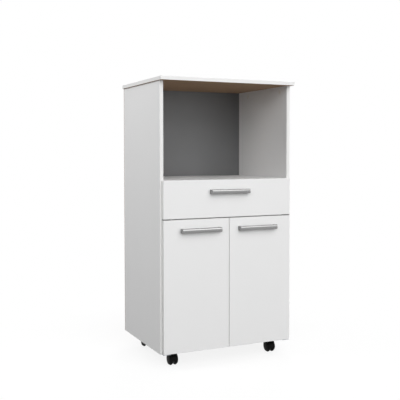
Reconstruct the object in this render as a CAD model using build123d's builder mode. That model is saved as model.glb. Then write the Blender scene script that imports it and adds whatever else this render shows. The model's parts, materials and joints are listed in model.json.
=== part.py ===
"""Kitchen cabinet on casters: an open niche over one drawer and two doors.

Millimetres, +Z up, the fronts face -Y. The origin is on the floor, under the middle of the
cabinet's outside box.
"""

import os
from math import hypot

from build123d import *

os.makedirs("parts", exist_ok=True)

# Outside size: across the top board, from the back panel to the handles, floor to top
overall_width = 610.0
overall_depth = 490.0
overall_height = 1170.0

# Boards
board = 15.0
back_board = 3.0
edge_round = 0.8
overrun = 1.0

# Heights of the front's divisions
caster_height = 61.0
niche_height = 396.0
drawer_front_height = 154.5
door_lift = 2.0

# How the fronts lie on the carcass
top_side_overhang = 6.5
top_front_overhang = 12.0
front_reveal = 8.5
door_middle_gap = 2.4
swing_clear = 0.75

# Pivot hinges of the doors
pivot_plate = 2.0
pivot_plate_clear = 1.0
pivot_leaf_width = 24.0
pivot_leaf_margin = 1.0
pivot_tab_margin = 5.0
pivot_leaf_gap = 0.5
pivot_leaf_let_in = 1.3
leaf_screw_shares = [0.25, 0.75]
pivot_edge = 4.5
pivot_pin = 4.0
pivot_pin_length = 11.0
pivot_collar = 7.0
pivot_bush = 7.0
pivot_bush_length = 12.0

# Cross rail under the drawer, and the magnetic catch below it
rail_depth = 60.0
catch_width = 46.0
catch_height = 14.0
catch_depth = 15.0
strike_width = 18.0
strike_height = 11.0
strike_plate = 1.0
strike_gap = 0.4
strike_offset = 5.0

# Loose shelf behind the doors
inner_shelf_drop = 262.0
inner_shelf_setback = 40.0
inner_shelf_play = 1.0
shelf_pin = 5.0
shelf_pin_depth = 8.0
shelf_pin_reach = 9.0
shelf_pin_inset = 55.0

# Drawer box on roller slides
slide_space = 12.5
drawer_wall = 12.0
drawer_rear_clear = 48.0
drawer_box_height = 100.0
drawer_box_lift = 18.0
drawer_bottom = 3.0
drawer_bottom_lift = 8.0
groove_depth = 5.0
groove_play = 0.2

# Roller slides of folded sheet steel
slide_sheet = 1.2
slide_setback = 2.0
slide_flange = 8.5
runner_flange = 8.8
runner_web = 20.0
front_roller = 16.0
rear_roller = 17.2
roller_width = 7.0
roller_stud = 4.0
roller_inset = 18.0
roller_side_gap = 0.5
roller_rest = 0.1
channel_play = 1.0
runner_flange_end_gap = 6.0

# Bow handles
handle_reach = 24.0
handle_spacing = 165.0
handle_leg = 10.0
handle_height = 19.0
handle_thick = 10.0
handle_crown = 7.8
handle_bend = 3.0
drawer_handle_drop = 49.0
door_handle_drop = 44.8
door_handle_offset = 129.5

# Hidden fittings of the boards
cam_diameter = 15.0
cam_depth = 12.4
cam_edge = 24.0
cam_slot = 1.6
cam_slot_depth = 1.5
bolt_diameter = 6.0
bolt_grip = 10.0
dowel_diameter = 8.0
dowel_length = 29.0
dowel_grip = 10.0
dowel_step = 32.0
fit_play = 0.04
cam_play = 0.2
cam_inset = 60.0
cap_diameter = 18.0
cap_thick = 0.8

# Screws and nails
screw_diameter = 3.6
screw_length = 13.0
screw_head = 7.0
screw_head_height = 2.0
head_round_share = 0.45
handle_screw = 4.0
handle_screw_head = 8.4
handle_screw_head_height = 2.6
handle_screw_grip = 9.0
nail_diameter = 1.5
nail_length = 14.0
nail_head = 3.4
nail_head_height = 0.8
nail_step = 140.0
nail_inset = 30.0

# Twin-wheel casters
caster_side_inset = 70.5
caster_end_inset = 65.0
caster_trail = 16.0
caster_plate = 42.0
caster_plate_thick = 2.0
caster_hole_spacing = 31.0
wheel_diameter = 50.0
wheel_width = 16.5
wheel_gap = 8.0
wheel_round = 3.0
wheel_profile_shares = [(0.0, 0.88), (0.31, 1.0), (0.42, 1.0), (0.82, 0.84), (0.97, 0.5), (1.0, 0.2)]
axle_diameter = 6.0
axle_cover = 9.0
axle_boss = 13.0
running_fit = 0.05
king_pin = 8.0
king_pin_length = 8.5
hood_clear = 1.8
hood_wall = 2.6
hood_width = 27.0
hood_round = 1.8
hood_boss = 17.0
hood_top_gap = 0.4
hood_drop = 2.5
web_clear = 0.5

# Planes that the pieces share
half_width = overall_width / 2
side_out = half_width - top_side_overhang
side_in = side_out - board
rear_y = overall_depth / 2
side_back = rear_y - back_board
front_y = handle_reach - overall_depth / 2
front_back = front_y + board
pivot_y = front_back - board / 2
front_standoff = hypot(pivot_edge, board / 2) + swing_clear - board / 2
side_front = front_back + front_standoff
top_front = front_y - top_front_overhang
body_bottom = caster_height
top_under = overall_height - board
niche_floor = top_under - niche_height
shelf_under = niche_floor - board
drawer_low = niche_floor - drawer_front_height
front_gap = pivot_plate + 2 * pivot_plate_clear
door_top = drawer_low - front_gap
door_low = body_bottom + door_lift
door_out = side_out - front_reveal
door_in = door_middle_gap / 2
pivot_x = door_out - pivot_edge
rail_top = door_top + pivot_plate_clear
rail_under = rail_top - board
rail_back = side_front + rail_depth
drawer_handle_z = niche_floor - drawer_handle_drop
door_handle_z = door_top - door_handle_drop
inner_shelf_top = door_top - inner_shelf_drop

# The two sides of the cabinet, as signs along X, and the directions that holes run in
SIDES = {"left": -1, "right": 1}
UP, DOWN, BACK, FRONT = (0, 0, 1), (0, 0, -1), (0, 1, 0), (0, -1, 0)


def slab(x_span, y_span, z_span, mode=Mode.ADD):
    """A block between two planes on each axis, in the part that is being built."""
    (x0, x1), (y0, y1), (z0, z1) = sorted(x_span), sorted(y_span), sorted(z_span)
    with Locations(((x0 + x1) / 2, (y0 + y1) / 2, (z0 + z1) / 2)):
        Box(x1 - x0, y1 - y0, z1 - z0, mode=mode)


def rods(starts, direction, diameter, length, mode=Mode.ADD):
    """Round bars of one size, each from its start along the direction."""
    with Locations(*[Plane(origin=start, z_dir=direction) for start in starts]):
        Cylinder(
            diameter / 2,
            length,
            align=(Align.CENTER, Align.CENTER, Align.MIN),
            mode=mode,
        )


def drill(mouths, direction, diameter, depth):
    """Round holes, each from its mouth along the direction."""
    rods(mouths, direction, diameter, depth, Mode.SUBTRACT)


def write(builder, name):
    """Labels a finished piece and writes its file."""
    builder.part.label = name
    export_step(builder.part, f"parts/{name}.step")


def reverse(direction):
    """The opposite direction."""
    return tuple(-part for part in direction)


def moved(point, direction, distance):
    """A point shifted along a direction."""
    return tuple(p + distance * d for p, d in zip(point, direction))


def screws(name, seats, diameter, length, head, head_height):
    """Pan-head screws as one node, each head on its seat and its shank along the seat's direction."""
    with BuildPart() as screw:
        for seat, direction in seats:
            rods([seat], direction, diameter, length)
            rods([seat], reverse(direction), head, head_height)
        tops = [Vector(*moved(seat, direction, -head_height)) for seat, direction in seats]
        circles = screw.edges().filter_by(GeomType.CIRCLE)
        rims = [e for e in circles if e.radius > (head + diameter) / 4]
        fillet(
            [e for e in rims if min((e.arc_center - top).length for top in tops) < head_height / 2],
            head_height * head_round_share,
        )
    write(screw, name)


# Hidden joints of the boards: where each cam sits, which way it goes in and which way its bolt runs
cam_rows = [side_front + cam_inset, side_back - cam_inset - dowel_step]
rail_cam_row = [side_front + (rail_depth - dowel_step) / 2]


def flat_sites(under, rows):
    """Cams in the underside of a flat board, at both of its ends."""
    sites = []
    for sign in SIDES.values():
        for row in rows:
            sites.append(((sign * (side_in - cam_edge), row, under), UP, (sign, 0, 0)))
    return sites


def top_sites(sign):
    """Cams in the inner face of a side, for the top board."""
    depth = top_under - cam_edge
    return [((sign * side_in, row, depth), (sign, 0, 0), UP) for row in cam_rows]


def cam_middle(site):
    """The middle of the board's thickness at a cam."""
    return moved(site[0], site[1], board / 2)


def joint_face(site):
    """Where a cam's bolt crosses from its own board to the next."""
    return moved(cam_middle(site), site[2], cam_edge)


def dowel_face(site):
    """Where the dowel beside a cam crosses from board to board."""
    return moved(joint_face(site), BACK, dowel_step)


def cut_cam_board(sites):
    """Bores for cams, their bolts and the dowels, in the board that holds the cams."""
    for site in sites:
        inward, along = site[1], site[2]
        drill([site[0]], inward, cam_diameter + 2 * cam_play, cam_depth + cam_play)
        drill([cam_middle(site)], along, bolt_diameter + 2 * cam_play, cam_edge + overrun)
        depth = dowel_length - dowel_grip + overrun
        drill([dowel_face(site)], reverse(along), dowel_diameter + fit_play, depth)


def cut_bolt_board(sites):
    """Bores for the bolts' and dowels' far ends, in the board beside."""
    for site in sites:
        drill([joint_face(site)], site[2], bolt_diameter + fit_play, bolt_grip + overrun)
        drill([dowel_face(site)], site[2], dowel_diameter + fit_play, dowel_grip + overrun)


bottom_sites = flat_sites(body_bottom, cam_rows)
shelf_sites = flat_sites(shelf_under, cam_rows)
rail_sites = flat_sites(rail_under, rail_cam_row)
flat_joints = bottom_sites + shelf_sites + rail_sites
all_sites = flat_joints + top_sites(-1) + top_sites(1)


def spaced(low, high, step):
    """Even places from low to high, about a step apart."""
    count = max(2, round((high - low) / step) + 1)
    return [low + (high - low) * index / (count - 1) for index in range(count)]


# Nails of the two back panels, in from the back face
seam_z = niche_floor - board / 2
seam_gap = fit_play
upper_rows = spaced(niche_floor + nail_inset, top_under - nail_inset, nail_step)
lower_rows = spaced(body_bottom + nail_inset, shelf_under - nail_inset, nail_step)
nail_columns = spaced(nail_inset - side_in, side_in - nail_inset, nail_step)
side_line = side_out - board / 2
side_nails = [
    (sign * side_line, rear_y, row) for sign in SIDES.values() for row in upper_rows + lower_rows
]
seam_low = seam_z - board / 4
seam_high = seam_z + board / 4
shelf_nails = [(column, rear_y, row) for column in nail_columns for row in (seam_low, seam_high)]
bottom_nails = [(column, rear_y, body_bottom + board / 2) for column in nail_columns]
back_nails = side_nails + shelf_nails + bottom_nails


def nail_holes(nails):
    """Holes for nails, from the cabinet's back face."""
    if nails:
        drill(nails, FRONT, nail_diameter + fit_play, nail_length + overrun)


# Pivot hinges: where pins stand and screws go through the leaves
leaf_in = side_in - pivot_leaf_gap - pivot_leaf_width
free_front = rail_cam_row[0] + bolt_diameter / 2
free_back = rail_cam_row[0] + dowel_step - dowel_diameter / 2
leaf_screw_rows = [free_front + (free_back - free_front) * share for share in leaf_screw_shares]
leaf_back = leaf_screw_rows[-1] + screw_head / 2 + pivot_leaf_margin
leaf_screw_x = side_in - pivot_leaf_gap - pivot_leaf_width / 2
leaf_points = [(s * leaf_screw_x, row) for s in SIDES.values() for row in leaf_screw_rows]
lower_leaf_top = body_bottom + pivot_leaf_let_in
lower_leaf_low = lower_leaf_top - pivot_plate
upper_leaf_top = rail_top + pivot_plate


# Casters: where each one swivels, and its four screws
caster_x = side_out - caster_side_inset
caster_spots = {
    "front_left": (-caster_x, side_front + caster_end_inset),
    "front_right": (caster_x, side_front + caster_end_inset),
    "rear_left": (-caster_x, side_back - caster_end_inset),
    "rear_right": (caster_x, side_back - caster_end_inset),
}
plate_under = body_bottom - caster_plate_thick
caster_screw_points = [
    (x + i * caster_hole_spacing / 2, y + j * caster_hole_spacing / 2)
    for x, y in caster_spots.values()
    for i in (-1, 1)
    for j in (-1, 1)
]

# Roller slides, measured up from the drawer box and in from the cabinet's sides
box_low = drawer_low + drawer_box_lift
box_high = box_low + drawer_box_height
box_front = front_back
box_back = side_back - drawer_rear_clear
drawer_box_depth = box_back - box_front
box_out = side_in - slide_space
box_in = box_out - drawer_wall
runner_flange_top = box_low + runner_web
runner_flange_under = runner_flange_top - slide_sheet
front_roller_z = runner_flange_under - roller_rest - front_roller / 2
channel_floor = front_roller_z - front_roller / 2 - roller_side_gap
rear_roller_z = channel_floor + roller_rest + rear_roller / 2
channel_ceiling = max(runner_flange_top, rear_roller_z + rear_roller / 2) + channel_play
channel_front = side_front + slide_setback
channel_back = channel_front + drawer_box_depth
front_roller_y = channel_front + roller_inset
rear_roller_y = box_back - roller_inset
runner_front = box_front + slide_setback
flange_back = rear_roller_y - rear_roller / 2 - runner_flange_end_gap
channel_web = side_in - slide_sheet
runner_face = box_out + slide_sheet
front_roller_out = channel_web - roller_side_gap
rear_roller_in = runner_face + roller_side_gap
slide_screw_z = (channel_floor + channel_ceiling) / 2
slide_screw_rows = spaced(front_roller_y + front_roller, channel_back - roller_inset, nail_step)
runner_screw_rows = spaced(runner_front + roller_inset, rear_roller_y, nail_step)
runner_screw_x = (box_out + box_in) / 2

# Loose shelf's pins
shelf_front = side_front + inner_shelf_setback
shelf_rear = side_back - inner_shelf_play
pin_rows = [shelf_front + shelf_pin_inset, shelf_rear - shelf_pin_inset]
pin_z = inner_shelf_top - board - shelf_pin / 2

# Side boards
for side, sign in SIDES.items():
    inner = sign * side_in
    out = (sign, 0, 0)
    with BuildPart() as side_board:
        slab((inner, sign * side_out), (side_front, side_back), (body_bottom, top_under))
        fillet(side_board.edges().filter_by(Axis.Z).group_by(Axis.Y)[0], edge_round)
        cut_bolt_board([site for site in flat_joints if site[2][0] == sign])
        cut_cam_board(top_sites(sign))
        drill([(inner, row, pin_z) for row in pin_rows], out, shelf_pin + fit_play, shelf_pin_depth)
        slide_holes = [(inner, row, slide_screw_z) for row in slide_screw_rows]
        drill(slide_holes, out, screw_diameter + fit_play, screw_length)
        nail_holes([nail for nail in side_nails if nail[0] * sign > 0])
    write(side_board, f"{side}_side")

# Top board
with BuildPart() as top_board:
    slab((-half_width, half_width), (top_front, rear_y), (top_under, overall_height))
    fillet(top_board.edges(), edge_round)
    cut_bolt_board(top_sites(-1) + top_sites(1))
write(top_board, "top_board")

# Bottom board, with the casters' holes and shallow pockets for the lower pivot leaves
with BuildPart() as bottom_board:
    slab((-side_in, side_in), (side_front, side_back), (body_bottom, body_bottom + board))
    fillet(bottom_board.edges().filter_by(Axis.X).group_by(Axis.Y)[0], edge_round)
    cut_cam_board(bottom_sites)
    nail_holes(bottom_nails)
    under_points = [(x, y, body_bottom) for x, y in caster_screw_points + leaf_points]
    drill(under_points, UP, screw_diameter + fit_play, screw_length)
    pocket_y = (side_front - overrun, leaf_back + pivot_leaf_gap)
    pocket_z = (body_bottom - overrun, lower_leaf_top)
    for sign in SIDES.values():
        pocket_x = (sign * (leaf_in - pivot_leaf_gap), sign * (side_in + overrun))
        slab(pocket_x, pocket_y, pocket_z, Mode.SUBTRACT)
write(bottom_board, "bottom_board")

# Niche floor, the fixed shelf at working height
with BuildPart() as niche_shelf:
    slab((-side_in, side_in), (side_front, side_back), (shelf_under, niche_floor))
    fillet(niche_shelf.edges().filter_by(Axis.X).group_by(Axis.Y)[0], edge_round)
    cut_cam_board(shelf_sites)
    nail_holes(shelf_nails)
write(niche_shelf, "niche_shelf")

# Cross rail between drawer and doors
catch_screw_x = catch_width / 2 - screw_head
catch_front = front_back + strike_plate + strike_gap
catch_points = [(x, catch_front + catch_depth / 2, rail_under) for x in (-catch_screw_x, catch_screw_x)]
with BuildPart() as cross_rail:
    slab((-side_in, side_in), (side_front, rail_back), (rail_under, rail_top))
    fillet(cross_rail.edges().filter_by(Axis.X).group_by(Axis.Y)[0], edge_round)
    cut_cam_board(rail_sites)
    drill([(x, y, rail_top) for x, y in leaf_points], DOWN, screw_diameter + fit_play, screw_length)
    drill(catch_points, UP, screw_diameter + fit_play, screw_length)
write(cross_rail, "cross_rail")

# Loose shelf and its pins
with BuildPart() as inner_shelf:
    shelf_half = side_in - inner_shelf_play
    slab((-shelf_half, shelf_half), (shelf_front, shelf_rear), (inner_shelf_top - board, inner_shelf_top))
    fillet(inner_shelf.edges().filter_by(Axis.X).group_by(Axis.Y)[0], edge_round)
write(inner_shelf, "inner_shelf")

with BuildPart() as shelf_pins:
    for sign in SIDES.values():
        ends = [(sign * (side_in - shelf_pin_reach), row, pin_z) for row in pin_rows]
        rods(ends, (sign, 0, 0), shelf_pin, shelf_pin_reach + shelf_pin_depth)
write(shelf_pins, "shelf_pins")

# Back panels, which meet behind the niche floor
back_spans = {"niche_back": (seam_z + seam_gap, top_under), "lower_back": (body_bottom, seam_z)}
for name, (low, high) in back_spans.items():
    with BuildPart() as back_panel:
        slab((-side_out, side_out), (side_back, rear_y), (low, high))
        own = [nail for nail in back_nails if low < nail[2] < high]
        nail_holes(own)
        drill(own, FRONT, nail_head + fit_play, nail_head_height)
    write(back_panel, name)

with BuildPart() as nails:
    rods(back_nails, FRONT, nail_diameter, nail_length)
    rods(back_nails, FRONT, nail_head, nail_head_height)
write(nails, "back_nails")

# Cams, their bolts and the dowels
with BuildPart() as cam_locks:
    for site in all_sites:
        face, inward, along = site
        rods([face], inward, cam_diameter, cam_depth)
    for site in all_sites:
        face, inward, along = site
        drill([cam_middle(site)], along, bolt_diameter + 2 * cam_play, cam_diameter)
        across = tuple(Vector(*inward).cross(Vector(*along)))
        for direction in (along, across):
            slot = Plane(origin=face, x_dir=direction, z_dir=inward)
            with Locations(slot):
                Box(
                    cam_diameter - 2 * cam_slot,
                    cam_slot,
                    cam_slot_depth,
                    align=(Align.CENTER, Align.CENTER, Align.MIN),
                    mode=Mode.SUBTRACT,
                )
write(cam_locks, "cam_locks")

# Caps over the cams that would show in the niche
cap_sites = top_sites(-1) + top_sites(1)
with BuildPart() as cam_caps:
    for face, inward, along in cap_sites:
        rods([face], reverse(inward), cap_diameter, cap_thick)
    circles = cam_caps.edges().filter_by(GeomType.CIRCLE)
    seen = [e for e in circles if abs(e.arc_center.X) < side_in - cap_thick / 2]
    fillet(seen, cap_thick / 2)
write(cam_caps, "cam_caps")

with BuildPart() as cam_bolts:
    for site in all_sites:
        rods([cam_middle(site)], site[2], bolt_diameter, cam_edge + bolt_grip)
write(cam_bolts, "cam_bolts")

with BuildPart() as dowels:
    for site in all_sites:
        start = moved(dowel_face(site), site[2], dowel_grip - dowel_length)
        rods([start], site[2], dowel_diameter, dowel_length)
write(dowels, "dowels")


# Pivot leaves: flat plates with a tab over or under the door's corner, and its pin
def pivot_leaf(sign, low):
    """One leaf of a pivot hinge, lying flat at its height."""
    inner, outer = sign * leaf_in, sign * (side_in - pivot_leaf_gap)
    tab_edge = sign * (pivot_x + pivot_tab_margin)
    tab_front = pivot_y - pivot_tab_margin
    slab((inner, outer), (side_front, leaf_back), (low, low + pivot_plate))
    slab((inner, tab_edge), (tab_front, side_front), (low, low + pivot_plate))


with BuildPart() as upper_leaves:
    for sign in SIDES.values():
        pivot_leaf(sign, rail_top)
        rods([(sign * pivot_x, pivot_y, rail_top)], DOWN, pivot_pin, pivot_pin_length)
    drill([(x, y, upper_leaf_top) for x, y in leaf_points], DOWN, screw_diameter + fit_play, pivot_plate)
write(upper_leaves, "upper_pivot_leaves")

collar_height = door_low - lower_leaf_top - running_fit
with BuildPart() as lower_leaves:
    for sign in SIDES.values():
        pivot_leaf(sign, lower_leaf_low)
        foot = [(sign * pivot_x, pivot_y, lower_leaf_top)]
        rods(foot, UP, pivot_collar, collar_height)
        rods(foot, UP, pivot_pin, door_low - lower_leaf_top + pivot_pin_length)
    drill([(x, y, lower_leaf_low) for x, y in leaf_points], UP, screw_diameter + fit_play, pivot_plate)
write(lower_leaves, "lower_pivot_leaves")

screw_sizes = (screw_diameter, screw_length, screw_head, screw_head_height)
leaf_seats = [((x, y, upper_leaf_top), DOWN) for x, y in leaf_points]
leaf_seats += [((x, y, lower_leaf_low), UP) for x, y in leaf_points]

# Magnetic catch under the cross rail
catch_low = rail_under - catch_height
with BuildPart() as catch:
    catch_half = catch_width / 2
    slab((-catch_half, catch_half), (catch_front, catch_front + catch_depth), (catch_low, rail_under))
    fillet(catch.edges().filter_by(Axis.Y), edge_round)
    drill([(x, y, catch_low) for x, y, z in catch_points], UP, screw_diameter + fit_play, catch_height)
    drill([(x, y, catch_low) for x, y, z in catch_points], UP, screw_head + 2 * cam_play, catch_height / 2)
write(catch, "magnetic_catch")
catch_seats = [((x, y, catch_low + catch_height / 2), UP) for x, y, z in catch_points]
screws("fitting_screws", leaf_seats + catch_seats, *screw_sizes)

# Slides on the cabinet's sides: a channel that opens inwards, with a stud for the front roller
for side, sign in SIDES.items():
    wall = (sign * channel_web, sign * side_in)
    tip = sign * (side_in - slide_sheet - slide_flange)
    span = (channel_front, channel_back)
    with BuildPart() as channel:
        slab(wall, span, (channel_floor - slide_sheet, channel_ceiling + slide_sheet))
        slab((tip, sign * side_in), span, (channel_floor - slide_sheet, channel_floor))
        slab((tip, sign * side_in), span, (channel_ceiling, channel_ceiling + slide_sheet))
        stud = [(sign * channel_web, front_roller_y, front_roller_z)]
        rods(stud, (-sign, 0, 0), roller_stud, roller_width + 2 * roller_side_gap)
        holes = [(sign * channel_web, row, slide_screw_z) for row in slide_screw_rows]
        drill(holes, (sign, 0, 0), screw_diameter + fit_play, slide_sheet)
    write(channel, f"{side}_slide_channel")

with BuildPart() as slide_screws:
    for sign in SIDES.values():
        seats = [(sign * channel_web, row, slide_screw_z) for row in slide_screw_rows]
        rods(seats, (sign, 0, 0), screw_diameter, screw_length)
        rods(seats, (-sign, 0, 0), screw_head, slide_sheet)
write(slide_screws, "slide_screws")


def roller_pair(name, diameter, y, z, near, direction):
    """Two nylon rollers on one axis, left and right, each bored for its stud."""
    with BuildPart() as rollers:
        for sign in SIDES.values():
            axis = (sign * direction, 0, 0)
            start = [(sign * near, y, z)]
            rods(start, axis, diameter, roller_width)
        fillet(rollers.edges().filter_by(GeomType.CIRCLE), edge_round)
        for sign in SIDES.values():
            axis = (sign * direction, 0, 0)
            drill([(sign * near, y, z)], axis, roller_stud + 2 * running_fit, roller_width)
    write(rollers, name)


roller_pair("front_rollers", front_roller, front_roller_y, front_roller_z, front_roller_out, -1)
roller_pair("rear_rollers", rear_roller, rear_roller_y, rear_roller_z, rear_roller_in, 1)


# Handles: a flat-oval bar bent into a bow, with a blind hole in each foot for its screw
def bow_handle(name, x, z):
    """A bow handle on the fronts' face, with its middle at x and z: a half-round bar on two legs."""
    feet = [(x + sign * handle_spacing / 2, front_y, z) for sign in SIDES.values()]
    finger_room = handle_reach - handle_thick
    with BuildPart() as handle:
        with BuildSketch(Plane.XY.offset(z - handle_height / 2)) as plan:
            with Locations((x, front_y - handle_reach / 2)):
                Rectangle(handle_spacing + handle_leg, handle_reach)
            with Locations((x, front_y - finger_room / 2)):
                Rectangle(handle_spacing - handle_leg, finger_room, mode=Mode.SUBTRACT)
            fillet([v for v in plan.vertices() if v.Y < front_y - handle_bend], handle_bend)
        extrude(amount=handle_height)
        with BuildSketch(Plane(origin=(x, front_y, z), x_dir=FRONT, z_dir=(1, 0, 0))) as crown:
            with Locations((handle_reach / 2, 0)):
                Rectangle(handle_reach, handle_height)
            fillet([v for v in crown.vertices() if v.X > finger_room], handle_crown)
        extrude(amount=handle_spacing, both=True, mode=Mode.INTERSECT)
        drill(feet, FRONT, handle_screw + fit_play, handle_screw_grip + overrun)
    write(handle, f"{name}_handle")
    seats = [(foot[0], front_back, foot[2]) for foot in feet]
    sizes = (handle_screw, board + handle_screw_grip, handle_screw_head, handle_screw_head_height)
    screws(f"{name}_handle_screws", [(seat, FRONT) for seat in seats], *sizes)
    return seats


drawer_seats = bow_handle("drawer", 0, drawer_handle_z)
door_seats = {
    side: bow_handle(f"{side}_door", sign * door_handle_offset, door_handle_z)
    for side, sign in SIDES.items()
}
handle_hole = handle_screw + 2 * cam_play

# Drawer: its front, box and bottom
dowel_heights = [box_low + drawer_box_height / 3, box_high - drawer_box_height / 4]
wall_middle = (box_out + box_in) / 2
front_dowels = [(sign * wall_middle, box_front, z) for sign in SIDES.values() for z in dowel_heights]
drawer_dowel = drawer_wall / 2
bottom_low = box_low + drawer_bottom_lift
bottom_high = bottom_low + drawer_bottom
groove_half = box_in + groove_depth
groove_span = (bottom_low - groove_play / 2, bottom_high + groove_play / 2)
back_screw_z = [bottom_high + drawer_box_height / 5, box_high - drawer_box_height / 5]
back_front = box_back - drawer_wall

with BuildPart() as drawer_front:
    slab((-door_out, door_out), (front_y, front_back), (drawer_low, niche_floor))
    fillet(drawer_front.edges(), edge_round)
    groove = (front_back - groove_depth, front_back + overrun)
    slab((-groove_half, groove_half), groove, groove_span, Mode.SUBTRACT)
    drill(drawer_seats, FRONT, handle_hole, board)
    drill(front_dowels, FRONT, drawer_dowel + fit_play, dowel_grip + overrun)
write(drawer_front, "drawer_front")

for side, sign in SIDES.items():
    with BuildPart() as drawer_side:
        slab((sign * box_in, sign * box_out), (box_front, box_back), (box_low, box_high))
        fillet(drawer_side.edges().filter_by(Axis.Y).group_by(Axis.Z)[-1], edge_round)
        groove = (sign * (box_in - overrun), sign * groove_half)
        slab(groove, (box_front - overrun, box_back + overrun), groove_span, Mode.SUBTRACT)
        own = [dowel for dowel in front_dowels if dowel[0] * sign > 0]
        drill(own, BACK, drawer_dowel + fit_play, dowel_length - dowel_grip + overrun)
        runner_holes = [(sign * runner_screw_x, row, box_low) for row in runner_screw_rows]
        drill(runner_holes, UP, screw_diameter + fit_play, drawer_bottom_lift - groove_play)
        back_holes = [(sign * box_out, back_front + drawer_wall / 2, z) for z in back_screw_z]
        drill(back_holes, (-sign, 0, 0), screw_diameter + fit_play, drawer_wall + overrun)
        drill(back_holes, (-sign, 0, 0), screw_head + 2 * cam_play, screw_head_height)
    write(drawer_side, f"drawer_{side}_side")

with BuildPart() as drawer_back:
    slab((-box_in, box_in), (back_front, box_back), (groove_span[1], box_high))
    fillet(drawer_back.edges().filter_by(Axis.X).group_by(Axis.Z)[-1], edge_round)
    for sign in SIDES.values():
        holes = [(sign * box_in, back_front + drawer_wall / 2, z) for z in back_screw_z]
        depth = screw_length + screw_head_height
        drill(holes, (-sign, 0, 0), screw_diameter + fit_play, depth)
write(drawer_back, "drawer_back")

with BuildPart() as drawer_base:
    base_half = groove_half - groove_play
    base_front = front_back - groove_depth + groove_play
    slab((-base_half, base_half), (base_front, box_back), (bottom_low, bottom_high))
write(drawer_base, "drawer_base")

with BuildPart() as drawer_dowels:
    rods([moved(d, FRONT, dowel_grip) for d in front_dowels], BACK, drawer_dowel, dowel_length)
write(drawer_dowels, "drawer_dowels")

with BuildPart() as drawer_screws:
    for sign in SIDES.values():
        inset = sign * (box_out - screw_head_height)
        seats = [(inset, back_front + drawer_wall / 2, z) for z in back_screw_z]
        rods(seats, (-sign, 0, 0), screw_diameter, drawer_wall + screw_length - screw_head_height)
        rods(seats, (sign, 0, 0), screw_head, screw_head_height)
write(drawer_screws, "drawer_screws")

# Runners under the drawer's sides: a flange below, a web beside, and a flange that rides the rollers
for side, sign in SIDES.items():
    web = (sign * box_out, sign * runner_face)
    with BuildPart() as runner:
        slab(web, (runner_front, box_back), (box_low - slide_sheet, runner_flange_top))
        shelf = (sign * box_in, sign * runner_face)
        slab(shelf, (runner_front, box_back), (box_low - slide_sheet, box_low))
        wing = (sign * box_out, sign * (runner_face + runner_flange))
        slab(wing, (runner_front, flange_back), (runner_flange_under, runner_flange_top))
        stud = [(sign * runner_face, rear_roller_y, rear_roller_z)]
        rods(stud, (sign, 0, 0), roller_stud, roller_width + 2 * roller_side_gap)
        holes = [(sign * runner_screw_x, row, box_low) for row in runner_screw_rows]
        drill(holes, DOWN, screw_diameter + fit_play, slide_sheet)
    write(runner, f"drawer_{side}_runner")

with BuildPart() as runner_screws:
    seats = [
        (sign * runner_screw_x, row, box_low - slide_sheet)
        for sign in SIDES.values()
        for row in runner_screw_rows
    ]
    rods(seats, UP, screw_diameter, drawer_bottom_lift - groove_play)
    rods(seats, DOWN, screw_head, screw_head_height)
write(runner_screws, "runner_screws")

# Doors, with a bush for the pin at each outer corner and a strike plate for the catch
strike_low = rail_under - catch_height / 2 - strike_height / 2
for side, sign in SIDES.items():
    corner = (sign * pivot_x, pivot_y)
    ends = {UP: door_low, DOWN: door_top}
    with BuildPart() as door:
        slab((sign * door_in, sign * door_out), (front_y, front_back), (door_low, door_top))
        fillet(door.edges(), edge_round)
        for direction, z in ends.items():
            drill([(*corner, z)], direction, pivot_bush + fit_play, pivot_bush_length)
        drill(door_seats[side], FRONT, handle_hole, board)
    write(door, f"{side}_door")

    with BuildPart() as bushes:
        for direction, z in ends.items():
            rods([(*corner, z)], direction, pivot_bush, pivot_bush_length)
        for direction, z in ends.items():
            drill([(*corner, z)], direction, pivot_pin + 2 * running_fit, pivot_bush_length)
    write(bushes, f"{side}_door_bushes")

    with BuildPart() as strike:
        near = sign * strike_offset
        far = sign * (strike_offset + strike_width)
        height = (strike_low, strike_low + strike_height)
        slab((near, far), (front_back, front_back + strike_plate), height)
        fillet(strike.edges().filter_by(Axis.Y), strike_plate)
    write(strike, f"{side}_strike_plate")

# Caster plates with their king pins, and the screws that hold them
with BuildPart() as plates:
    for x, y in caster_spots.values():
        half = caster_plate / 2
        slab((x - half, x + half), (y - half, y + half), (plate_under, body_bottom))
    fillet(plates.edges().filter_by(Axis.Z), caster_plate_thick)
    rods([(x, y, plate_under) for x, y in caster_spots.values()], DOWN, king_pin, king_pin_length)
    plate_holes = [(x, y, plate_under) for x, y in caster_screw_points]
    drill(plate_holes, UP, screw_diameter + fit_play, caster_plate_thick)
write(plates, "caster_plates")
screws("caster_screws", [(hole, UP) for hole in plate_holes], *screw_sizes)

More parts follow.
